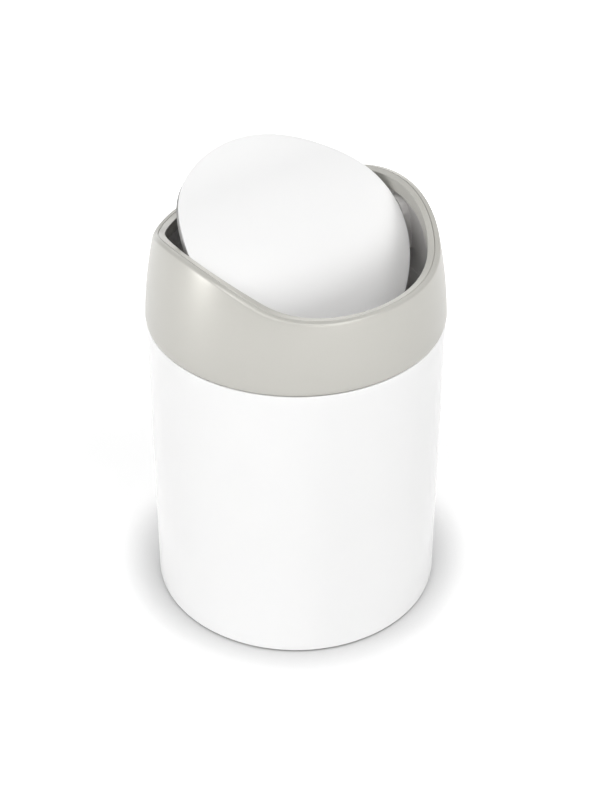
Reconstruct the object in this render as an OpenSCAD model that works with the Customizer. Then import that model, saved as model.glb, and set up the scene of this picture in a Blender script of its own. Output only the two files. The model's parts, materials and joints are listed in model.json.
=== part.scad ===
// Countertop trash can with a swing lid: a steel can, a moulded collar with a saddle-shaped rim, and a bent
// steel lid that swings on two side pivots and is brought back level by a weight under it.
// Millimetres, +Z up, origin on the table at the can's axis. The pivot axis runs along X, the front is -Y.

/* [Can] */
// Outside diameter of the can wall
can_d = 122; // [100:1:150]
// Height of the wall's top edge above the table
can_h = 133.7; // [100:0.1:200]
// Thickness of the steel sheet of wall and floor
sheet_t = 0.6; // [0.4:0.1:1]
// Height of the folded hems at the top and at the foot
hem_h = 4.2; // [3:0.1:8]
// Height of the wall's foot above the table
foot_gap = 0.8; // [0.4:0.1:2]

/* [Base] */
// Height of the floor pan's underside above the wall's foot
floor_rise = 4.4; // [3.5:0.1:8]
// How far the middle of the floor pan is pressed up
floor_step = 1.2; // [0.5:0.1:3]
// Width of the lower outer track round the pressed middle
floor_track = 9; // [5:0.5:20]
// Plate thickness of the base cap
cap_t = 1.6; // [1:0.1:2.5]
// Slope at the base cap's lower edge
cap_edge = 0.6; // [0.3:0.1:0.9]
// Height of the base cap's underside above the table
cap_gap = 1.2; // [0.6:0.1:2]
// Width of the soft grip ring
grip_w = 8; // [4:0.5:15]
// Distance of the grip ring from the cap's edge
grip_inset = 2.5; // [1.5:0.5:8]
// Depth of the groove that holds the grip ring
grip_seat = 0.6; // [0.3:0.1:1]
// Number of spokes in the base cap
cap_spokes = 8; // [4:1:12]

/* [Collar] */
// How far the collar stands out past the can at the seam
collar_overhang = 0.35; // [0.1:0.05:1.5]
// Gap between the can's top edge and the collar
seam_gap = 0.3; // [0.2:0.05:1]
// Radius of the collar's upright curve
collar_curve = 210; // [120:5:400]
// Depth below the seam at which that curve stands upright
curve_drop = 10; // [0:1:30]
// Wall thickness of the outer moulding
shell_t = 2; // [1.6:0.1:3]
// Rounding of the collar's lower edge
edge_round = 0.9; // [0.3:0.1:1.5]
// Height of the rim's two peaks above the seam
rim_rise = 43.6; // [36:0.1:60]
// How far the rim dips from its peaks to the front and the back
saddle_drop = 13.7; // [6:0.1:20]
// Radius of the saddle's crown over the pivots
crown_r = 70; // [45:1:90]
// Radius of the hollow curve that follows the crown
hollow_r = 51; // [45:1:90]
// Width of the rounding on the rim's outer edge
crest_w = 0.9; // [0.5:0.1:1.6]
// Height of the rounding on the rim's outer edge
crest_h = 0.8; // [0.5:0.1:3]

/* [Rim ring] */
// Width of the whole rim, from the outside to the opening
rim_w = 4.9; // [4.2:0.1:7]
// How far the inner band falls towards the opening
band_fall = 0.5; // [0.2:0.1:2]
// Rounding of the edge of the opening
lip_round = 0.7; // [0.2:0.1:1]
// Height of the lip round the opening
lip_h = 5.7; // [3:0.1:8]
// Thickness of the lip
lip_t = 1.4; // [1:0.1:1.4]
// Thickness of the inner band
band_t = 1.4; // [1:0.1:2]

/* [Inner collar] */
// Depth of the skirt inside the can
skirt_h = 12; // [8:0.5:20]
// Slope at the skirt's lower end, which leads it into the can
skirt_lead = 0.8; // [0.4:0.1:1.2]
// Gap between the skirt and the collar's own inner face line
skirt_step = 0.15; // [0.1:0.05:0.4]
// Wall thickness of the inner moulding
liner_t = 1.6; // [1.2:0.1:2.4]
// Height of the gasket
gasket_h = 2.4; // [1.5:0.1:4]
// Depth of the gasket's groove
gasket_seat = 0.8; // [0.4:0.1:1]
// Gap between the gasket and the folded top edge of the can
gasket_gap = 0.3; // [0.25:0.05:0.5]
// Depth of the gasket's top below the seam
gasket_drop = 1.6; // [1:0.1:4]
// Radius of a pivot tower's round head
tower_r = 6.4; // [5.5:0.1:8]
// Depth of a tower's foot below the pivot axis
tower_h = 17; // [14:0.5:22]
// Depth of the top of a tower's stop below the pivot axis
stop_drop = 6; // [5.5:0.1:7]
// Height of the stops
stop_h = 6; // [3:0.5:7]
// Gap that the stops leave at the lid's greatest swing
stop_gap = 0.3; // [0.2:0.05:0.6]

/* [Pivots] */
// Height of the pivot axis above the seam
pivot_rise = 28.4; // [25:0.1:32]
// Diameter of the pivot pins
pin_d = 4; // [3:0.1:5]
// Length of each pin inside its bush
pin_reach = 4; // [3:0.1:4.4]
// Wall thickness of the bushes
bush_t = 1.35; // [1:0.05:1.8]
// Thickness of the bush flange
flange_t = 0.7; // [0.5:0.1:1]
// How far the bush flange stands out round the bush
flange_w = 1.2; // [0.6:0.1:1.6]
// Gap between a tray ear and the bush flange
ear_gap = 0.6; // [0.4:0.1:1.2]
// Distance of the ears' outer faces from the lid's edge
ear_inset = 0.6; // [0.3:0.1:1.5]

/* [Lid] */
// Opening angle at which the lid is drawn
lid_open = 44; // [0:1:75]
// Thickness of the lid's steel sheet
lid_t = 0.6; // [0.4:0.1:1]
// Height of the sheet's crown above the pivot axis
lid_rise = 6.7; // [6.4:0.1:8]
// Gap between the lid's edge and the opening at the pivots
lid_gap = 0.3; // [0.2:0.05:1]
// Gap between the lid's edge and the opening at the front and the back
lid_end_gap = 1; // [0.9:0.05:2]
// Greatest angle that the stops let the lid swing either way
lid_swing = 78; // [70:1:85]
// Plate thickness of the tray under the sheet
tray_t = 1.6; // [1:0.1:2]
// Distance of the tray's edge from the sheet's edge
tray_inset = 1.4; // [0.6:0.1:3]
// Thickness of the tray's edge rib
tray_edge_t = 1.6; // [1:0.1:3]
// Depth of the tray's edge rib below the sheet
tray_edge_h = 3.4; // [2:0.1:5]
// Thickness of the tray's ears
ear_t = 3; // [2:0.1:4]
// Radius of the ears round the pins
ear_r = 4.8; // [4:0.1:5.4]
// How far each side of an ear widens up to the tray
ear_flare = 2; // [1:0.1:2.2]
// Thickness of the spine rib
spine_t = 3; // [2:0.1:5]
// Distance between the two long ribs that run from the front to the back
rib_pitch = 50; // [44:1:60]
// Thickness of the long ribs
rib_t = 1.6; // [1:0.1:2.4]

/* [Counterweight] */
// Length of the counterweight bar
weight_l = 44; // [36:1:70]
// Width of the counterweight bar
weight_w = 9; // [8:0.5:14]
// Height of the counterweight bar
weight_h = 6; // [4:0.5:10]
// Depth of the bar's top below the pivot axis
weight_drop = 8; // [6.5:0.5:12]
// Distance between the two screws
screw_pitch = 26; // [16:1:30]
// Diameter of the screws
screw_d = 3; // [2.5:0.1:4]
// Length of the screws
screw_l = 12; // [8:0.5:14]
// Diameter of the screw heads
screw_head_d = 5.6; // [5:0.1:7]
// Wall thickness of the bosses that the screws hold in
boss_t = 2; // [1.5:0.1:3]

/* [Hidden] */
$fn = 96;
// pieces that are pressed or glued together stand this far apart on a round face
fit = 0.1;
// a pin turns in its bush with this radial clearance
running = 0.06;
// a pressed pin, bush or screw keeps this radial clearance
press = 0.02;
// a bush is this much longer than the pin inside it
bush_over = 0.4;
// overlap that lets cuts run past a face
over = 1;

can_r = can_d / 2;
seam_z = can_h + seam_gap;
hem_in_r = can_r - 2 * sheet_t;
floor_z = foot_gap + floor_rise;
hem_corner = sheet_t * 1.5;

// collar
seam_r = can_r + collar_overhang;
curve_z = seam_z - curve_drop;
rim_top_z = seam_z + rim_rise;
skirt_r = seam_r - shell_t - fit - skirt_step;
pivot_z = seam_z + pivot_rise;
lip_drop = band_fall + lip_h;
band_drop = band_fall + band_t;
loft_steps = 96;
saddle_steps = 20;
core_steps = 5;
wall_rows = 6;
crest_rows = 4;
solve_steps = 8;

// pivots, measured from the middle along X
lid_half = collar_r(rim_top_z) - rim_w - lid_gap;
lid_end = collar_r(rim_top_z - saddle_drop) - rim_w - lid_end_gap;
lid_taper = (lid_end - lid_half) / saddle_drop;
lid_below = 20;
ear_out = lid_half - ear_inset;
flange_in = ear_out + ear_gap;
tower_in = flange_in + flange_t;
pin_r = pin_d / 2;
bush_r = pin_r + running + bush_t;
bush_l = pin_reach + bush_over;
stop_in = lid_half - tray_inset - tray_edge_t;

// lid tray, measured down from the top of the sheet or up from the pivot axis
tray_top = lid_t + fit;
edge_low = tray_top + tray_edge_h;
plate_low = lid_rise - tray_top - tray_t;

// radius of the closed lid's edge at height z
function lid_r(z) = lid_half + (pivot_z + lid_rise - z) * lid_taper;

// saddle: a crown arc that runs smoothly into a hollow arc, then level
saddle_slope = acos(1 - saddle_drop / (crown_r + hollow_r));
crown_y = crown_r * sin(saddle_slope);
level_y = (crown_r + hollow_r) * sin(saddle_slope);

// half width of a tower's stop, which the tray's edge meets at the greatest swing
function edge_y(t) = t * cos(lid_swing) + (lid_rise - edge_low - saddle_fall(t)) * sin(lid_swing);
stop_half = min(edge_y(stop_drop), edge_y(stop_drop + stop_h)) - stop_gap;

// ---- shared forms ----

// outside radius of the collar at height z
function collar_r(z) = seam_r + sqrt(pow(collar_curve, 2) - pow(z - curve_z, 2))
                     - sqrt(pow(collar_curve, 2) - pow(curve_drop, 2));

// how far the saddle has fallen at distance y in front of or behind the pivots
function saddle_fall(y) = abs(y) <= crown_y ? crown_r - sqrt(pow(crown_r, 2) - pow(y, 2))
    : abs(y) < level_y ? saddle_drop - hollow_r + sqrt(pow(hollow_r, 2) - pow(level_y - abs(y), 2))
    : saddle_drop;

// height on the collar wall: share 0 is the seam, share 1 is `depth` below the rim
function wall_z(y, share, depth, lift) =
    seam_z + lift + share * (rim_top_z - saddle_fall(y) - depth - seam_z);

// radius of a loft point, found by repetition because the rim's height depends on it
// row = [inset from the outside, share of the height, depth below the rim, lift, how far up the radius is read]
function loft_r(a, row, r, n) = n == 0 ? r
    : loft_r(a, row, collar_r(wall_z(r * sin(a), row[1], row[2], row[3]) + row[4]) - row[0], n - 1);

function loft_point(a, row) = let (r = loft_r(a, row, seam_r, solve_steps))
    [r * cos(a), r * sin(a), wall_z(r * sin(a), row[1], row[2], row[3])];

// closed ring whose section changes round the collar
module ring_loft(rows) {
    n = len(rows);
    points = [for (i = [0 : loft_steps - 1], row = rows) loft_point(i * 360 / loft_steps, row)];
    faces = [for (i = [0 : loft_steps - 1], j = [0 : n - 1])
        let (i2 = (i + 1) % loft_steps, j2 = (j + 1) % n)
        [i * n + j, i * n + j2, i2 * n + j2, i2 * n + j]];
    polyhedron(points = points, faces = faces, convexity = 6);
}

// points along the saddle line with its crown at height top, from one side to the other
function saddle_line(top, way = 1) = [for (i = [-saddle_steps : saddle_steps])
    let (y = way * level_y * i / saddle_steps) [y, top - saddle_fall(y)]];

// everything under a saddle surface with its crown at height top
module under_saddle(top, depth) {
    reach = seam_r + over;
    rotate([90, 0, 90]) linear_extrude(height = 2 * reach, center = true)
        polygon(concat([[reach, top - saddle_drop], [reach, top - depth],
            [-reach, top - depth], [-reach, top - saddle_drop]], saddle_line(top)));
}

// stack of cones that follows the collar's inside at a distance, between two heights
module collar_core(inset, low, high) {
    step = (high - low) / core_steps;
    rotate_extrude() polygon(concat([[0, high], [0, low]],
        [for (i = [0 : core_steps]) [collar_r(low + i * step) - inset, low + i * step]]));
}

// places what belongs to the lid, drawn closed round the pivot axis, at its opening angle
module on_lid() {
    translate([0, 0, pivot_z]) rotate([lid_open, 0, 0]) children();
}

// layer of the lid between two depths under its top face, inset from its edge
module lid_layer(from, to, inset) {
    translate([0, 0, -pivot_z]) intersection() {
        rotate([90, 0, 90]) linear_extrude(height = 2 * seam_r, center = true)
            polygon(concat(saddle_line(pivot_z + lid_rise - from), saddle_line(pivot_z + lid_rise - to, -1)));
        lid_core(inset);
    }
}

// cone inside the lid's edge, which widens from the pivots down to the front and the back
module lid_core(inset) {
    low = pivot_z - lid_below;
    high = pivot_z + lid_rise + over;
    translate([0, 0, low]) cylinder(r1 = lid_r(low) - inset, r2 = lid_r(high) - inset, h = high - low);
}

// rod along X between two distances from the middle, on the pivot axis
module pivot_rod(r, from, to) {
    translate([from, 0, pivot_z]) rotate([0, 90, 0]) cylinder(r = r, h = to - from);
}

// ---- can ----

module can_wall() {
    color("white") rotate_extrude() difference() {
        union() {
            translate([can_r - sheet_t, foot_gap]) square([sheet_t, can_h - foot_gap - sheet_t]);
            translate([hem_in_r, foot_gap]) square([2 * sheet_t, hem_h]);
            translate([hem_in_r, can_h - hem_h]) square([2 * sheet_t, hem_h - sheet_t]);
            translate([can_r - sheet_t, can_h - sheet_t]) circle(r = sheet_t);
        }
        difference() {
            translate([can_r - hem_corner, foot_gap - over]) square([hem_corner + over, hem_corner + over]);
            translate([can_r - hem_corner, foot_gap + hem_corner]) circle(r = hem_corner);
        }
    }
}

module can_floor() {
    floor_r = hem_in_r - press;
    track_r = hem_in_r - floor_track;
    color("gainsboro") rotate_extrude() union() {
        translate([floor_r - sheet_t, foot_gap + sheet_t]) square([sheet_t, floor_rise]);
        translate([track_r, floor_z]) square([floor_r - track_r, sheet_t]);
        translate([track_r, floor_z]) square([sheet_t, floor_step + sheet_t]);
        translate([0, floor_z + floor_step]) square([track_r + sheet_t, sheet_t]);
    }
}

module base_cap() {
    cap_r = hem_in_r - sheet_t - fit;
    rib_t = cap_t;
    rib_r = cap_r - floor_track / 2;
    rib_h = floor_z - cap_gap;
    color("dimgray") difference() {
        union() {
            rotate_extrude() polygon([
                [0, cap_gap], [cap_r - cap_edge, cap_gap], [cap_r, cap_gap + cap_edge],
                [cap_r, cap_gap + cap_t], [0, cap_gap + cap_t]]);
            translate([0, 0, cap_gap]) difference() {
                cylinder(r = rib_r + rib_t / 2, h = rib_h);
                translate([0, 0, -over]) cylinder(r = rib_r - rib_t / 2, h = rib_h + 2 * over);
            }
            for (i = [0 : cap_spokes - 1]) rotate(i * 360 / cap_spokes)
                translate([0, -rib_t / 2, cap_gap]) cube([rib_r, rib_t, rib_h]);
        }
        grip_groove(cap_r, fit);
    }
}

// the groove under the cap, or the ring that fills it
module grip_groove(cap_r, gap) {
    out_r = cap_r - grip_inset + gap;
    in_r = cap_r - grip_inset - grip_w - gap;
    low = gap > 0 ? -over : 0;
    translate([0, 0, low]) difference() {
        cylinder(r = out_r, h = cap_gap + grip_seat - low);
        translate([0, 0, -over]) cylinder(r = in_r, h = cap_gap + grip_seat - low + 2 * over);
    }
}

module grip_ring() {
    color("darkgray") grip_groove(hem_in_r - sheet_t - fit, 0);
}

// ---- collar ----

module collar_shell() {
    bevel = 1 - cos(45);
    color([0.80, 0.80, 0.77]) ring_loft(concat(
        [[shell_t, 0, 0, 0, 0], [edge_round, 0, 0, 0, 0],
         [edge_round * bevel, 0, 0, edge_round * bevel, 0], [0, 0, 0, edge_round, 0]],
        [for (i = [1 : wall_rows]) [0, i / wall_rows, crest_h, 0, 0]],
        [for (i = [1 : crest_rows]) let (q = i * 90 / crest_rows)
            [crest_w * (1 - cos(q)), 1, crest_h * (1 - sin(q)), 0, 0]],
        [for (i = [wall_rows : -1 : 1]) [shell_t, i / wall_rows, 0, 0, 0]]));
}

module rim_ring() {
    edge = lip_round * (1 - cos(45));
    color([0.84, 0.84, 0.81]) ring_loft([
        [shell_t + fit, 1, band_drop, 0, 0],
        [shell_t + fit, 1, 0, 0, 0],
        [(shell_t + rim_w) / 2, 1, band_fall / 2, 0, 0],
        [rim_w - lip_round, 1, band_fall, 0, 0],
        [rim_w - edge, 1, band_fall + edge, 0, edge],
        [rim_w, 1, band_fall + lip_round, 0, lip_round],
        [rim_w, 1, band_fall + lip_h / 2, 0, lip_h / 2],
        [rim_w, 1, lip_drop, 0, lip_h],
        [rim_w - lip_t, 1, lip_drop, 0, lip_h],
        [rim_w - lip_t, 1, band_drop, 0, band_t]]);
}

// a pivot tower seen along the axis: round head on a straight foot
module tower_area() {
    circle(r = tower_r);
    translate([-tower_r, -tower_h]) square([2 * tower_r, tower_h]);
}

module inner_collar() {
    face = shell_t + fit;
    top = rim_top_z - band_drop - fit;
    skirt_z = seam_z - skirt_h;
    color([0.80, 0.80, 0.77]) difference() {
        union() {
            difference() {
                intersection() {
                    union() {
                        collar_core(face, seam_z, rim_top_z);
                        rotate_extrude() polygon([
                            [0, skirt_z], [skirt_r - skirt_lead, skirt_z], [skirt_r, skirt_z + skirt_lead],
                            [skirt_r, seam_z + over], [0, seam_z + over]]);
                    }
                    under_saddle(top, rim_rise + skirt_h + 2 * over);
                }
                collar_core(face + liner_t, seam_z, rim_top_z + over);
                translate([0, 0, skirt_z - over])
                    cylinder(r = skirt_r - liner_t, h = skirt_h + 2 * over);
            }
            intersection() {
                for (side = [0, 1]) mirror([side, 0, 0]) translate([tower_in, 0, pivot_z])
                    rotate([90, 0, 90]) linear_extrude(height = seam_r - tower_in) tower_area();
                collar_core(face + liner_t / 2, pivot_z - tower_h - over, pivot_z + tower_r + over);
            }
            for (side = [0, 1]) mirror([side, 0, 0])
                translate([stop_in, -stop_half, pivot_z - stop_drop - stop_h])
                    cube([tower_in - stop_in + over, 2 * stop_half, stop_h]);
        }
        for (side = [0, 1]) mirror([side, 0, 0]) pivot_rod(bush_r + press, tower_in - over, tower_in + bush_l);
        gasket_ring(skirt_r + over, fit / 2);
    }
}

// ring round the skirt: the gasket, or with a gap the groove for it
module gasket_ring(out_r, gap) {
    high = seam_z - gasket_drop + gap;
    low = seam_z - gasket_drop - gasket_h - gap;
    translate([0, 0, low]) difference() {
        cylinder(r = out_r, h = high - low);
        translate([0, 0, -over]) cylinder(r = skirt_r - gasket_seat - gap, h = high - low + 2 * over);
    }
}

module skirt_gasket() {
    color("lightgray") gasket_ring(hem_in_r - gasket_gap, 0);
}

// ---- pivots ----

module bush() {
    difference() {
        union() {
            pivot_rod(bush_r, tower_in, tower_in + bush_l - fit);
            pivot_rod(bush_r + flange_w, flange_in, tower_in);
        }
        pivot_rod(pin_r + running, flange_in - over, tower_in + bush_l + over);
    }
}

module pivot_bush_right() {
    color("ivory") bush();
}

module pivot_bush_left() {
    color("ivory") mirror([1, 0, 0]) bush();
}

module pivot_pin_right() {
    color("silver") pivot_rod(pin_r, ear_out - ear_t, tower_in + pin_reach);
}

module pivot_pin_left() {
    color("silver") mirror([1, 0, 0]) pivot_rod(pin_r, ear_out - ear_t, tower_in + pin_reach);
}

// ---- lid ----

module lid_panel() {
    color("whitesmoke") on_lid() lid_layer(0, lid_t, 0);
}

module lid_tray() {
    boss_r = screw_d / 2 + boss_t;
    color("dimgray") on_lid() difference() {
        union() {
            lid_layer(tray_top, tray_top + tray_t, tray_inset);
            difference() {
                lid_layer(tray_top, edge_low, tray_inset);
                translate([0, 0, -pivot_z]) lid_core(tray_inset + tray_edge_t);
            }
            intersection() {
                lid_layer(tray_top, edge_low, tray_inset);
                for (side = [-1, 1]) translate([(side * rib_pitch - rib_t) / 2, -seam_r, -lid_below])
                    cube([rib_t, 2 * seam_r, 2 * lid_below]);
            }
            for (side = [0, 1]) mirror([side, 0, 0]) translate([ear_out - ear_t, 0, 0])
                rotate([90, 0, 90]) linear_extrude(height = ear_t) {
                    circle(r = ear_r);
                    polygon([[-ear_r, 0], [ear_r, 0], [ear_r + ear_flare, plate_low],
                        [-ear_r - ear_flare, plate_low]]);
                }
            translate([-ear_out + ear_t, -spine_t / 2, -weight_drop])
                cube([2 * (ear_out - ear_t), spine_t, weight_drop + plate_low + tray_t / 2]);
            for (side = [-1, 1]) translate([side * screw_pitch / 2, 0, -weight_drop])
                cylinder(r = boss_r, h = weight_drop + plate_low + tray_t / 2);
        }
        for (side = [0, 1]) mirror([side, 0, 0]) translate([0, 0, -pivot_z])
            pivot_rod(pin_r + press, ear_out - ear_t, ear_out + over);
        for (side = [-1, 1]) translate([side * screw_pitch / 2, 0, -weight_drop - over])
            cylinder(r = screw_d / 2 + press, h = screw_l - weight_h + over);
    }
}

module counterweight() {
    head_h = (screw_head_d - screw_d) / 2;
    color("silver") on_lid() translate([0, 0, -weight_drop - weight_h]) difference() {
        linear_extrude(height = weight_h) {
            square([weight_l - weight_w, weight_w], center = true);
            for (side = [-1, 1]) translate([side * (weight_l - weight_w) / 2, 0]) circle(r = weight_w / 2);
        }
        for (side = [-1, 1]) translate([side * screw_pitch / 2, 0, 0]) {
            translate([0, 0, -over]) cylinder(r = screw_d / 2 + fit, h = weight_h + 2 * over);
            translate([0, 0, -fit])
                cylinder(r1 = screw_head_d / 2 + 2 * fit, r2 = screw_d / 2 + fit, h = head_h);
        }
    }
}

module weight_screws() {
    head_h = (screw_head_d - screw_d) / 2;
    color("gray") on_lid() for (side = [-1, 1])
        translate([side * screw_pitch / 2, 0, -weight_drop - weight_h]) {
            cylinder(r1 = screw_head_d / 2, r2 = screw_d / 2, h = head_h);
            cylinder(r = screw_d / 2, h = screw_l - fit);
        }
}

can_wall();
can_floor();
base_cap();
grip_ring();
collar_shell();
rim_ring();
inner_collar();
skirt_gasket();
pivot_bush_left();
pivot_bush_right();
pivot_pin_left();
pivot_pin_right();
lid_panel();
lid_tray();
counterweight();
weight_screws();
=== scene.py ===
import json
import math

import bpy
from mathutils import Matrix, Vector


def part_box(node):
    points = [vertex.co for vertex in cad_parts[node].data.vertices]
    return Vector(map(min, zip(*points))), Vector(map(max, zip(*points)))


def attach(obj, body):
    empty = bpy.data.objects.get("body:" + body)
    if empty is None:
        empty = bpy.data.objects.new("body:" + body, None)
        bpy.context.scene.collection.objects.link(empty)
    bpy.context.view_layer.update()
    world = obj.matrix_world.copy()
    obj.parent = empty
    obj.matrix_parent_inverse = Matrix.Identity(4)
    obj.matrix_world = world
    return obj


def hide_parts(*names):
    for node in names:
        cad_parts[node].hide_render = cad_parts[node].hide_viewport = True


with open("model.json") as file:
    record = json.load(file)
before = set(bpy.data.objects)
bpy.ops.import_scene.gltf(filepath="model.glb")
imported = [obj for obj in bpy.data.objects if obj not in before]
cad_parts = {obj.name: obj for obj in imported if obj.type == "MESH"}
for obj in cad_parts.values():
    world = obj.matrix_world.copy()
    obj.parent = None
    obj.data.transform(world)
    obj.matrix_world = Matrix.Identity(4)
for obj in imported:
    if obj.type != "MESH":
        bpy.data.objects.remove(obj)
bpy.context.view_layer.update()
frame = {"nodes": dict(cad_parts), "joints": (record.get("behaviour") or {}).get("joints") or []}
bpy.ops.object.select_all(action="DESELECT")
print("stage: frame loaded")

mm = 0.001

# what the frame says
shellLow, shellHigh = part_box("collar_shell")
wallLow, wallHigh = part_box("can_wall")
joints = {joint["name"]: joint for joint in frame["joints"]}
pivotHeight = joints["lid_swing"]["pos_m"][2]
seamHeight = shellLow.z
rimHeight = shellHigh.z
seamRadius = shellHigh.x

collar = {
    "wallCurve": 210 * mm,  # radius of the upright curve
    "curveDrop": 10 * mm,  # below the seam the curve stands upright
    "saddleDrop": 13.7 * mm,  # from the peaks of the rim to its front
    "crownRadius": 70 * mm,
    "hollowRadius": 51 * mm,
    "sections": 216,
}


def collarRadius(z):
    curve = collar["wallCurve"]
    upright = seamHeight - collar["curveDrop"]
    top = math.sqrt(curve**2 - (z - upright) ** 2)
    return seamRadius + top - math.sqrt(curve**2 - collar["curveDrop"] ** 2)


def saddleFall(y):
    crown, hollow, drop = collar["crownRadius"], collar["hollowRadius"], collar["saddleDrop"]
    slope = math.acos(1 - drop / (crown + hollow))
    crownEnd, levelStart = crown * math.sin(slope), (crown + hollow) * math.sin(slope)
    away = abs(y)
    if away <= crownEnd:
        return crown - math.sqrt(crown**2 - away**2)
    if away < levelStart:
        return drop - hollow + math.sqrt(hollow**2 - (levelStart - away) ** 2)
    return drop


# shader maths
class Field:  # a socket that can be added, multiplied and so on
    def __init__(self, nodes, socket):
        self.nodes, self.socket = nodes, socket

    def join(self, operation, first, second):
        return self.nodes.node("Math", {"operation": operation}, {0: first, 1: second})

    def __add__(self, other):
        return self.join("ADD", self, other)

    def __mul__(self, other):
        return self.join("MULTIPLY", self, other)

    def __sub__(self, other):
        return self.join("SUBTRACT", self, other)

    def __rsub__(self, other):
        return self.join("SUBTRACT", other, self)

    def __pow__(self, other):
        return self.join("POWER", self, other)

    __radd__ = __add__
    __rmul__ = __mul__


class NodeSet:  # a node tree, and the one way in which nodes are added to it
    def __init__(self, owner, outputKind):
        owner.use_nodes = True
        self.tree = owner.node_tree
        self.tree.nodes.clear()
        self.output = self.tree.nodes.new(outputKind)

    def node(self, kind, settings=None, inputs=None, output=0):
        made = self.tree.nodes.new("ShaderNode" + kind)
        for name, value in (settings or {}).items():
            setattr(made, name, value)
        for name, value in (inputs or {}).items():
            if isinstance(value, Field):
                self.tree.links.new(value.socket, made.inputs[name])
            else:
                made.inputs[name].default_value = value
        return Field(self, made.outputs[output])

    def ray(self, kind):  # 1 for rays of this kind
        return self.node("LightPath", output=f"Is {kind} Ray")

    def show(self, shader):
        self.tree.links.new(shader.socket, self.output.inputs["Surface"])


class Finish(NodeSet):  # one material and its nodes
    def __init__(self, name):
        self.material = bpy.data.materials.new(name)
        super().__init__(self.material, "ShaderNodeOutputMaterial")

    def place(self):
        return self.node("TexCoord", output="Object")

    def noise(self, scale, detail=2.0, roughness=0.5, vector=None):
        spot = vector or self.place()
        inputs = {"Vector": spot, "Scale": scale, "Detail": detail, "Roughness": roughness}
        return self.node("TexNoise", None, inputs)

    def blend(self, share, first, second):
        return self.node("Mix", {"data_type": "RGBA"}, {"Factor": share, 6: first, 7: second}, output=2)

    def bump(self, height, distance, strength):
        return self.node("Bump", None, {"Height": height, "Distance": distance, "Strength": strength})

    def surface(self, inputs):
        self.show(self.node("BsdfPrincipled", None, inputs))
        return self.material


def grey(level, warmth=0.0):
    return (level + warmth, level, level - warmth, 1.0)


# finishes
paint = {
    "low": (0.92, 0.92, 0.918, 1.0), "high": (0.94, 0.94, 0.937, 1.0),
    "roughness": 0.22, "spread": 0.06, "specular": 0.16,
    "coat": 0.06, "coatRoughness": 0.08,
    "peelScale": 420.0, "peel": 0.012 * mm, "peelStrength": 0.6,  # the orange peel
    "cloudScale": 35.0,
}


def whitePaint():
    finish = Finish("whitePaint")
    peel = finish.noise(paint["peelScale"])
    cloud = finish.noise(paint["cloudScale"])
    return finish.surface({
        "Base Color": finish.blend(cloud, paint["low"], paint["high"]),
        "Roughness": (cloud - 0.5) * paint["spread"] + paint["roughness"],
        "Coat Weight": paint["coat"],
        "Specular IOR Level": paint["specular"],
        "Coat Roughness": paint["coatRoughness"],
        "Normal": finish.bump(peel, paint["peel"], paint["peelStrength"]),
    })


pearl = {
    "low": (0.478, 0.470, 0.437, 1.0), "high": (0.502, 0.494, 0.460, 1.0),
    "flakeScale": 5200.0, "cloudScale": 60.0,
    "metallic": 0.25, "specular": 0.25, "roughness": 0.34, "spread": 0.06,
    "grainScale": 2600.0, "grain": 0.02 * mm, "grainStrength": 0.35,
}


def pearlPlastic():
    finish = Finish("pearlPlastic")
    spots = {"Vector": finish.place(), "Scale": pearl["flakeScale"]}
    flake = finish.node("TexVoronoi", {"feature": "F1"}, spots, output="Color")
    sparkle = finish.node("SeparateColor", None, {"Color": flake})
    cloud = finish.noise(pearl["cloudScale"], 3.0)
    grain = finish.noise(pearl["grainScale"])
    return finish.surface({
        "Base Color": finish.blend((sparkle + cloud) * 0.5, pearl["low"], pearl["high"]),
        "Metallic": pearl["metallic"],
        "Specular IOR Level": pearl["specular"],
        "Roughness": pearl["roughness"] - (0.5 - sparkle) * pearl["spread"],
        "Normal": finish.bump(grain, pearl["grain"], pearl["grainStrength"]),
    })


moulded = {
    "contrast": 0.08, "cloudScale": 45.0, "roughness": 0.46, "spread": 0.14,
    "grainScale": 1500.0, "grain": 0.05 * mm, "grainStrength": 0.5,
}


def mouldedPlastic(name, level, warmth):
    finish = Finish(name)
    grain = finish.noise(moulded["grainScale"], 3.0, 0.6)
    cloud = finish.noise(moulded["cloudScale"], 3.0)
    low, high = level * (1 - moulded["contrast"]), level * (1 + moulded["contrast"])
    return finish.surface({
        "Base Color": finish.blend(cloud, grey(low, warmth), grey(high, warmth)),
        "Roughness": grain * moulded["spread"] + moulded["roughness"],
        "Normal": finish.bump(grain, moulded["grain"], moulded["grainStrength"]),
    })


rubber = {"low": 0.23, "high": 0.29, "roughness": 0.7, "spread": 0.1, "grainScale": 900.0, "grain": 0.06 * mm}


def softRubber():
    finish = Finish("softRubber")
    grain = finish.noise(rubber["grainScale"], 3.0)
    return finish.surface({
        "Base Color": finish.blend(grain, grey(rubber["low"]), grey(rubber["high"])),
        "Roughness": grain * rubber["spread"] + rubber["roughness"],
        "Normal": finish.bump(grain, rubber["grain"], 0.5),
    })


bush = {"low": 0.78, "high": 0.84, "warmth": 0.02, "roughness": 0.3, "spread": 0.1, "cloudScale": 300.0}


def bushPlastic():
    finish = Finish("bushPlastic")
    cloud = finish.noise(bush["cloudScale"])
    low, high = grey(bush["low"], bush["warmth"]), grey(bush["high"], bush["warmth"])
    return finish.surface({
        "Base Color": finish.blend(cloud, low, high),
        "Roughness": cloud * bush["spread"] + bush["roughness"],
        "Normal": finish.bump(cloud, 0.02 * mm, 0.3),
    })


steel = {"low": 0.50, "high": 0.62, "roughness": 0.25, "spread": 0.2, "drawn": (60.0, 2400.0, 2400.0)}


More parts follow.
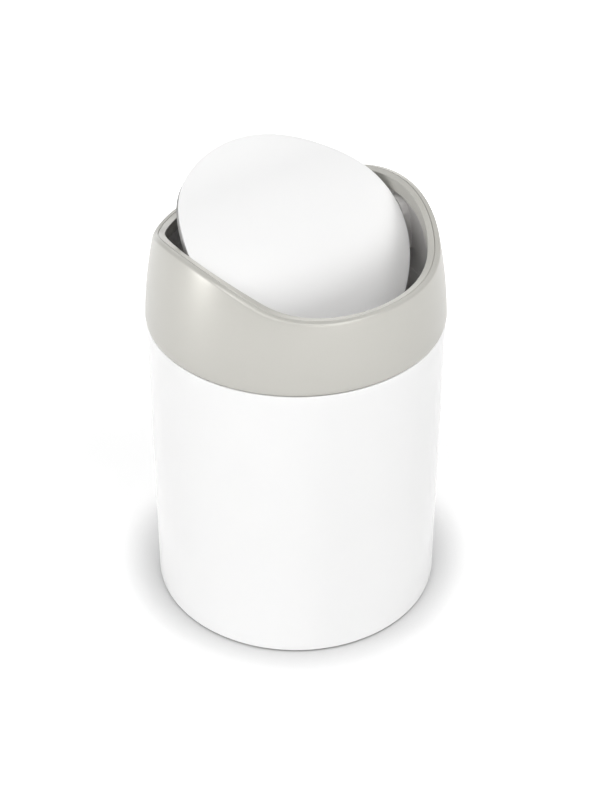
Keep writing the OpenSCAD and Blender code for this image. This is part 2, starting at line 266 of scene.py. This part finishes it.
def zincSteel():
    finish = Finish("zincSteel")
    stretch = finish.node("Mapping", None, {"Vector": finish.place(), "Scale": steel["drawn"]})
    lines = finish.noise(1.0, 4.0, 0.6, stretch)
    return finish.surface({
        "Base Color": finish.blend(lines, grey(steel["low"]), grey(steel["high"])),
        "Metallic": 1.0,
        "Roughness": lines * steel["spread"] + steel["roughness"],
        "Normal": finish.bump(lines, 0.02 * mm, 0.4),
    })


white = whitePaint()
pearly = pearlPlastic()
# painted light: the inner collar is the pearl plastic made much lighter, so that the shaded inside of the
# collar reads brighter
paintedLightLining = mouldedPlastic("paintedLightLiningPlastic", 0.76, 0.012)
backing = mouldedPlastic("trayPlastic", 0.28, 0.003)
gripping = softRubber()
ivory = bushPlastic()
zinc = zincSteel()

finishes = {
    "can_wall": white, "can_floor": white, "base_cap": backing, "grip_ring": gripping,
    "collar_shell": pearly, "rim_ring": pearly, "inner_collar": paintedLightLining, "skirt_gasket": gripping,
    "pivot_bush_left": ivory, "pivot_bush_right": ivory, "pivot_pin_left": zinc, "pivot_pin_right": zinc,
    "lid_panel": white, "lid_tray": backing, "counterweight": zinc, "weight_screws": zinc,
}
for node, material in finishes.items():
    slots = frame["nodes"][node].material_slots
    if not slots:
        frame["nodes"][node].data.materials.append(material)
    for slot in slots:
        slot.material = material
print("stage: finishes made")


# turned pieces
weld = 0.01 * mm  # points of a turned section that lie nearer than this become one
settle = 6  # rounds in which a point's radius and the fall of the saddle are matched


def finishPiece(name, material, body, replaced):
    piece = bpy.context.object
    piece.name = name
    piece.data.name = name
    piece.data.materials.clear()
    piece.data.materials.append(material)
    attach(piece, body)
    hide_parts(replaced)
    piece.select_set(False)
    return piece


def turnSection(section, sections):  # section: radius and height of each ring, the last one joins the first
    radius, height = section[0]
    bpy.ops.mesh.primitive_circle_add(vertices=sections, radius=radius, location=(0, 0, 0))
    bpy.ops.object.mode_set(mode="EDIT")
    bpy.ops.mesh.select_all(action="SELECT")
    bpy.ops.transform.translate(value=(0, 0, height))
    for nextRadius, nextHeight in section[1:] + section[:1]:
        bpy.ops.mesh.extrude_region_move(TRANSFORM_OT_translate={"value": (0, 0, nextHeight - height)})
        share = nextRadius / radius
        bpy.ops.transform.resize(value=(share, share, 1), center_override=(0, 0, nextHeight))
        radius, height = nextRadius, nextHeight
    bpy.ops.mesh.select_all(action="SELECT")
    bpy.ops.mesh.remove_doubles(threshold=weld)
    bpy.ops.mesh.normals_make_consistent(inside=False)
    bpy.ops.object.mode_set(mode="OBJECT")
    return bpy.context.object


def corner(centre, radius, start, end, steps):  # points of a rounded corner in the section
    points = []
    for i in range(steps + 1):
        turn = math.radians(start + (end - start) * i / steps)
        points.append((centre[0] + radius * math.cos(turn), centre[1] + radius * math.sin(turn)))
    return points


def straight(first, last, steps):  # points between two corners, without the ends
    return [
        (first[0] + (last[0] - first[0]) * i / steps, first[1] + (last[1] - first[1]) * i / steps)
        for i in range(1, steps)
    ]


def liftToSaddle(piece, stretchTop):  # bends a flat-rimmed ring to the collar's wall and saddle
    full = stretchTop - seamHeight
    for vertex in piece.data.vertices:
        x, y, z = vertex.co
        radius, turn = math.hypot(x, y), math.atan2(y, x)
        inset = reference - radius
        for _ in range(settle):
            fall = saddleFall(radius * math.sin(turn))
            if z >= stretchTop:
                height = z - fall
            else:
                height = seamHeight + (z - seamHeight) * (full - fall) / full
            radius = collarRadius(height) - inset
        vertex.co = (radius * math.cos(turn), radius * math.sin(turn), height)


def liftRim(piece, upright):  # the same for the rim ring, whose lip hangs straight down below upright
    lipInset = rim["width"] - rim["lipThickness"] - rim["slack"]
    for vertex in piece.data.vertices:
        x, y, z = vertex.co
        radius, turn = math.hypot(x, y), math.atan2(y, x)
        inset = reference - radius
        read = max(z, upright) if inset > lipInset else z
        for _ in range(settle):
            fall = saddleFall(radius * math.sin(turn))
            radius = collarRadius(read - fall) - inset
        vertex.co = (radius * math.cos(turn), radius * math.sin(turn), z - fall)


reference = 60 * mm  # radius at which the rings are turned before they are bent
smoothAngle = math.radians(40)

rim = {
    "shell": 2.0 * mm,  # wall of the outer moulding
    "edge": 1.1 * mm,  # rounding of its lower edge
    "crestWidth": 0.9 * mm,
    "crestHeight": 0.8 * mm,
    "width": 4.9 * mm,  # from the outside to the opening
    "fall": 0.5 * mm,  # the band slopes inwards by this much
    "lipRound": 0.7 * mm,
    "lipHeight": 5.7 * mm,
    "lipThickness": 1.4 * mm,
    "bandThickness": 1.4 * mm,
    "gap": 0.1 * mm,  # between the two mouldings
    "footStep": 0.3 * mm,  # first step across the shell's foot
    "crestSteps": 8,
    "shellEase": 0.1 * mm,  # bevel inside the crest
    "ease": 0.15 * mm,  # bevel at the joint of the two mouldings
    "lipEase": 0.3 * mm,  # bevel under the lip
    "slack": 0.05 * mm,  # allowance in telling the points of the lip from those of the band
}


def buildCollarShell():
    edge, inner = rim["edge"], reference - rim["shell"]
    crestLow, ease = rimHeight - rim["crestHeight"], rim["shellEase"]
    section = [(inner, seamHeight), (inner + rim["footStep"], seamHeight)]
    section += corner((reference - edge, seamHeight + edge), edge, -90, 0, 5)
    section += straight((reference, seamHeight + edge), (reference, crestLow), 18)
    for i in range(rim["crestSteps"] + 1):
        turn = math.radians(90 * i / rim["crestSteps"])
        section.append((
            reference - rim["crestWidth"] * (1 - math.cos(turn)),
            crestLow + rim["crestHeight"] * math.sin(turn),
        ))
    section += [(inner + ease, rimHeight), (inner, rimHeight - ease)]
    section += straight((inner, rimHeight - ease), (inner, seamHeight), 14)
    piece = turnSection(section, collar["sections"])
    liftToSaddle(piece, crestLow)
    bpy.ops.object.shade_smooth_by_angle(angle=smoothAngle)
    return finishPiece("collarShell", pearly, "collar", "collar_shell")


def buildRimRing():
    outer, inner = reference - rim["shell"] - rim["gap"], reference - rim["width"]
    lipTop = rimHeight - rim["fall"]
    lipLow, bandLow = lipTop - rim["lipHeight"], lipTop - rim["bandThickness"]
    bend, ease, lipEase = rim["lipRound"], rim["ease"], rim["lipEase"]
    lipBack = inner + rim["lipThickness"]
    section = [(outer, bandLow), (outer, rimHeight - ease), (outer - ease, rimHeight)]
    section += straight((outer - ease, rimHeight), (inner + bend, lipTop), 4)
    for i in range(7):
        turn = math.radians(15 * i)
        section.append((inner + bend * (1 - math.sin(turn)), lipTop - bend * (1 - math.cos(turn))))
    section += straight((inner, lipTop - bend), (inner, lipLow + lipEase), 5)
    section += [(inner, lipLow + lipEase), (inner + lipEase, lipLow), (lipBack, lipLow), (lipBack, bandLow)]
    piece = turnSection(section, collar["sections"])
    liftRim(piece, lipTop - bend)
    bpy.ops.object.shade_smooth_by_angle(angle=smoothAngle)
    return finishPiece("rimRing", pearly, "collar", "rim_ring")


wall = {
    "sheet": 0.6 * mm,
    "hem": 4.2 * mm,  # height of the folds at the top and at the foot
    "footOut": 0.69 * mm, "footIn": 0.414 * mm,  # roundings of the foot fold
    "topRound": 0.5 * mm,
    "gap": 0.05 * mm,  # between the wall and its top fold
    "sections": 216,
}


def buildCanWall():
    sheet, hem, top = wall["sheet"], wall["hem"], wall["topRound"]
    footOut, footIn = wall["footOut"], wall["footIn"]
    radius, low, high = wallHigh.x, wallLow.z, wallHigh.z
    fold, inner, foot = radius - 2 * sheet, radius - sheet, low + footOut
    section = [(fold, low + hem), (fold, foot)]
    section += corner((fold + footIn, foot), footIn, 180, 270, 3)
    section += corner((radius - footOut, foot), footOut, -90, 0, 6)
    section += straight((radius, foot), (radius, high - top), 24)
    section += corner((radius - top, high - top), top, 0, 120, 6)
    section += [(fold, high - sheet), (fold, high - hem), (inner - wall["gap"], high - hem)]
    section += straight((inner, high - hem), (inner, low + hem), 12)
    section += [(inner, low + hem)]
    turnSection(section, wall["sections"])
    bpy.ops.object.shade_smooth_by_angle(angle=smoothAngle)
    return finishPiece("canWall", white, "can", "can_wall")


lid = {
    "sheet": 0.6 * mm,
    "rise": 6.7 * mm,  # crown above the pivot axis
    "gap": 0.3 * mm,  # between the lid's edge and the opening at the pivots
    "endGap": 1.0 * mm,  # the same at the front and the back
    "edgeDepth": 3.8 * mm,  # the sheet is turned down over the tray
    "edgeDraft": 1.25 * mm,  # and leans inwards by this much
    "edgeSteps": 4,
    "edgeRound": 0.45 * mm,
    "edgeSegments": 3, "edgeSharp": 50,  # degrees
    "open": 44.0,  # degrees
    "rings": 26,
    "sides": 256,
}


def roundEdges(piece, width, segments, degrees):
    bevel = piece.modifiers.new("edge", "BEVEL")
    bevel.width, bevel.segments = width, segments
    bevel.limit_method, bevel.angle_limit = "ANGLE", math.radians(degrees)
    bpy.ops.object.modifier_apply(modifier=bevel.name)


def buildLidPanel():
    half = collarRadius(rimHeight) - rim["width"] - lid["gap"]
    end = collarRadius(rimHeight - collar["saddleDrop"]) - rim["width"] - lid["endGap"]
    taper = (end - half) / collar["saddleDrop"]
    bpy.ops.mesh.primitive_circle_add(
        vertices=lid["sides"], radius=half, fill_type="NGON", location=(0, 0, 0),
    )
    piece = bpy.context.object
    bpy.ops.object.mode_set(mode="EDIT")
    bpy.ops.mesh.select_all(action="SELECT")
    for _ in range(lid["rings"]):
        bpy.ops.mesh.inset(thickness=half / (lid["rings"] + 1), use_even_offset=True)
    bpy.ops.object.mode_set(mode="OBJECT")
    for vertex in piece.data.vertices:
        x, y, _ = vertex.co
        share = math.hypot(x, y) / half
        turn = math.atan2(y, x)
        edge = half
        for _ in range(settle):
            edge = half + taper * saddleFall(edge * math.sin(turn))
        y = share * edge * math.sin(turn)
        vertex.co = (share * edge * math.cos(turn), y, lid["rise"] - saddleFall(y))
    bpy.ops.object.mode_set(mode="EDIT")
    bpy.ops.mesh.select_mode(type="EDGE")
    bpy.ops.mesh.select_all(action="DESELECT")
    bpy.ops.mesh.select_non_manifold()
    stepDown = lid["edgeDepth"] / lid["edgeSteps"]
    share = 1 - lid["edgeDraft"] / lid["edgeSteps"] / half
    for _ in range(lid["edgeSteps"]):  # the turned down edge
        bpy.ops.mesh.extrude_region_move(TRANSFORM_OT_translate={"value": (0, 0, -stepDown)})
        bpy.ops.transform.resize(value=(share, share, 1), center_override=(0, 0, 0))
    bpy.ops.mesh.select_mode(type="VERT")
    bpy.ops.mesh.select_all(action="SELECT")
    bpy.ops.mesh.normals_make_consistent(inside=False)
    bpy.ops.object.mode_set(mode="OBJECT")
    thick = piece.modifiers.new("sheet", "SOLIDIFY")
    thick.thickness, thick.offset, thick.use_even_offset = lid["sheet"], -1, True
    bpy.ops.object.modifier_apply(modifier=thick.name)
    roundEdges(piece, lid["edgeRound"], lid["edgeSegments"], lid["edgeSharp"])
    tilt = math.radians(lid["open"])
    for vertex in piece.data.vertices:
        x, y, z = vertex.co
        back = y * math.cos(tilt) - z * math.sin(tilt)
        vertex.co = (x, back, pivotHeight + y * math.sin(tilt) + z * math.cos(tilt))
    bpy.ops.object.shade_smooth_by_angle(angle=smoothAngle)
    return finishPiece("lidPanel", white, "lid", "lid_panel")


softPieces = {  # node: name, material, body, slot, width of the softened edge
    "lid_tray": ("lidTray", backing, "lid", "dark_plastic", 0.25 * mm),
    "inner_collar": ("innerCollar", paintedLightLining, "collar", "pearl_plastic", 0.25 * mm),
    "base_cap": ("baseCap", backing, "can", "dark_plastic", 0.25 * mm),
    "counterweight": ("counterWeight", zinc, "lid", "bare_steel", 0.5 * mm),
}


soft = {"weld": 0.002 * mm, "flat": 0.6, "sharp": 35, "smooth": 30, "segments": 2}  # angles in degrees


def softCopy(node, name, material, body, width):  # the same piece with its sharp edges taken off
    piece = bpy.data.objects.new(name, frame["nodes"][node].data.copy())
    bpy.context.collection.objects.link(piece)
    bpy.context.view_layer.objects.active = piece
    piece.select_set(True)
    bpy.ops.object.mode_set(mode="EDIT")
    bpy.ops.mesh.select_all(action="SELECT")
    bpy.ops.mesh.remove_doubles(threshold=soft["weld"])
    bpy.ops.mesh.dissolve_limited(angle_limit=math.radians(soft["flat"]))
    bpy.ops.object.mode_set(mode="OBJECT")
    roundEdges(piece, width, soft["segments"], soft["sharp"])
    bpy.ops.object.shade_smooth_by_angle(angle=math.radians(soft["smooth"]))
    return finishPiece(name, material, body, node)


buildCollarShell()
buildRimRing()
buildCanWall()
buildLidPanel()
print("stage: smooth pieces made")
for node, (name, material, body, slot, width) in softPieces.items():
    softCopy(node, name, material, body, width)
print("stage: edges softened")

# studio
studio = {
    "floorSize": 12.0,  # metres
    "floorShade": 0.80,
    "floorSeen": 0.55,  # the floor's own colour where the camera sees it
    "floorGlow": 0.62, "farGlow": 0.6,
    "paintedShadow": 22 * mm,  # how far out the painted shadow darkens the floor's glow round the foot
    "paintedShadowPower": 2.0,
    "fadeStart": 120 * mm, "fadeEnd": 500 * mm,  # between these the floor goes over into white
    "world": 0.25,
    "aim": 100 * mm,  # height at which the lamps point
}
lamps = {  # degrees from the camera, degrees up, distance, width, height in metres, watts
    "leftStrip": (-72, 5, 1.1, 0.2, 0.5, 3.7),
    "leftHigh": (-115, 42, 1.3, 0.5, 0.5, 0.4),
    "frontHigh": (-30, 50, 1.4, 0.7, 0.7, 5.2),
    "rightFront": (30, 18, 1.4, 0.6, 0.6, 5.8),
    "rightHigh": (60, 55, 1.3, 0.6, 0.6, 3.9),
    "topBox": (10, 80, 1.3, 0.6, 0.6, 1.7),
    "backFill": (172, 22, 1.5, 0.9, 0.6, 3.0),
}


def buildFloor():
    bpy.ops.mesh.primitive_plane_add(size=studio["floorSize"], location=(0, 0, 0))
    floor = bpy.context.object
    floor.name = "floor"
    finish = Finish("studioFloor")
    seen = finish.ray("Camera")
    colour = finish.blend(seen, grey(studio["floorShade"]), grey(studio["floorSeen"]))
    plain = finish.node("BsdfDiffuse", None, {"Color": colour})
    # painted shadow: ambient occlusion darkens the floor's glow round the foot
    paintedShadow = finish.node("AmbientOcclusion", {"samples": 16}, {"Distance": studio["paintedShadow"]}, output="AO")
    away = finish.node("VectorMath", {"operation": "LENGTH"}, {0: finish.place()}, output="Value")
    reach = {"Value": away, "From Min": studio["fadeStart"], "From Max": studio["fadeEnd"]}
    fade = finish.node("MapRange", {"interpolation_type": "SMOOTHSTEP"}, reach)
    glow = paintedShadow ** studio["paintedShadowPower"] * studio["floorGlow"] + fade * studio["farGlow"]
    strength = (seen + finish.ray("Glossy") + finish.ray("Transmission")) * glow
    shine = finish.node("Emission", None, {"Color": grey(1.0), "Strength": strength})
    finish.show(finish.node("AddShader", None, {0: plain, 1: shine}))
    floor.data.materials.append(finish.material)
    floor.select_set(False)


def buildWorld():
    world = bpy.data.worlds.new("studio")
    bpy.context.scene.world = world
    sky = NodeSet(world, "ShaderNodeOutputWorld")
    seen = sky.ray("Camera") + sky.ray("Glossy") + sky.ray("Transmission")
    level = sky.node("MapRange", None, {"Value": seen, "To Min": studio["world"], "To Max": 1.0})
    sky.show(sky.node("Background", None, {"Color": grey(1.0), "Strength": level}))


def aroundObject(azimuth, elevation, distance):  # the azimuth counts from -Y towards +X
    turn, rise = math.radians(azimuth), math.radians(elevation)
    level = math.cos(rise)
    return Vector((level * math.sin(turn), -level * math.cos(turn), math.sin(rise))) * distance


def addLamp(name, azimuth, elevation, distance, size, power):
    aim = Vector((0, 0, studio["aim"]))
    data = bpy.data.lights.new(name, "AREA")
    data.shape = "RECTANGLE"
    data.size, data.size_y = size
    data.energy = power
    lamp = bpy.data.objects.new(name, data)
    bpy.context.collection.objects.link(lamp)
    lamp.location = aim + aroundObject(azimuth, elevation, distance)
    lamp.rotation_euler = (aim - lamp.location).to_track_quat("-Z", "Y").to_euler()
    lamp.visible_camera = False


view = {
    "azimuth": -37.7, "elevation": 41.21, "distance": 821.91 * mm,
    "pitch": 36.27, "lens": 81.73, "sensor": 36.0, "shift": 0.005, "nearest": 10 * mm,
}


def addCamera():
    data = bpy.data.cameras.new("camera")
    data.lens, data.sensor_width, data.sensor_fit = view["lens"], view["sensor"], "AUTO"
    data.shift_x, data.clip_start = view["shift"], view["nearest"]
    camera = bpy.data.objects.new("camera", data)
    bpy.context.collection.objects.link(camera)
    camera.location = aroundObject(view["azimuth"], view["elevation"], view["distance"])
    camera.rotation_euler = (math.radians(90 - view["pitch"]), 0, math.radians(view["azimuth"]))
    bpy.context.scene.camera = camera


buildFloor()
buildWorld()
for name, (turn, rise, distance, width, height, power) in lamps.items():
    addLamp(name, view["azimuth"] + turn, rise, distance, (width, height), power)
addCamera()
bpy.context.scene.view_settings.view_transform = "Standard"
print("stage: studio set")
